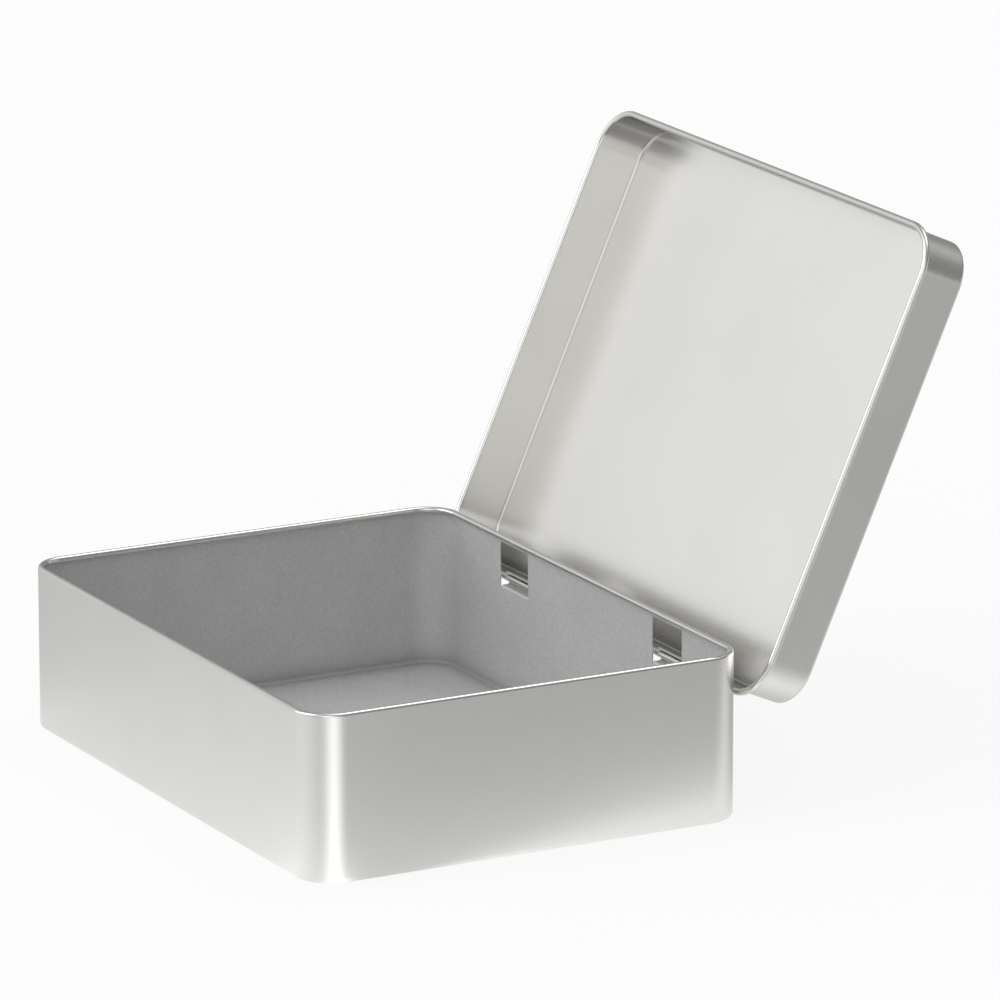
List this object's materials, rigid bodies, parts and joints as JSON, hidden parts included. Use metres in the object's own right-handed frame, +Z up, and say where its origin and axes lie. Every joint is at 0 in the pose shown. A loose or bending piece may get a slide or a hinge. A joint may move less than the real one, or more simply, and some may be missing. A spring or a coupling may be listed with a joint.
{
  "type": "hinged tin box",
  "caption": "Shallow rectangular box of plain tinplate with rolled rims and a full lid that swings on rolled knuckles at the back.",
  "frame": {"origin": "middle of the flat underside of the base", "axes": "+Z up, X along the hinge, +Y from the front of the box towards the hinge"},
  "size_m": [0.2058, 0.2269, 0.1783],
  "materials": {
    "base_tinplate": "satin",
    "lid_tinplate": "satin"
  },
  "bodies": {
    "base": {"base_shell": "base_tinplate"},
    "lid": {"lid_shell": "lid_tinplate"}
  },
  "joints": [
    {"name": "lid_hinge", "type": "hinge", "parent": "base", "child": "lid", "pos_m": [0, 0.0764, 0.03765], "axis": [1, 0, 0], "range_deg": [0, 114]}
  ]
}
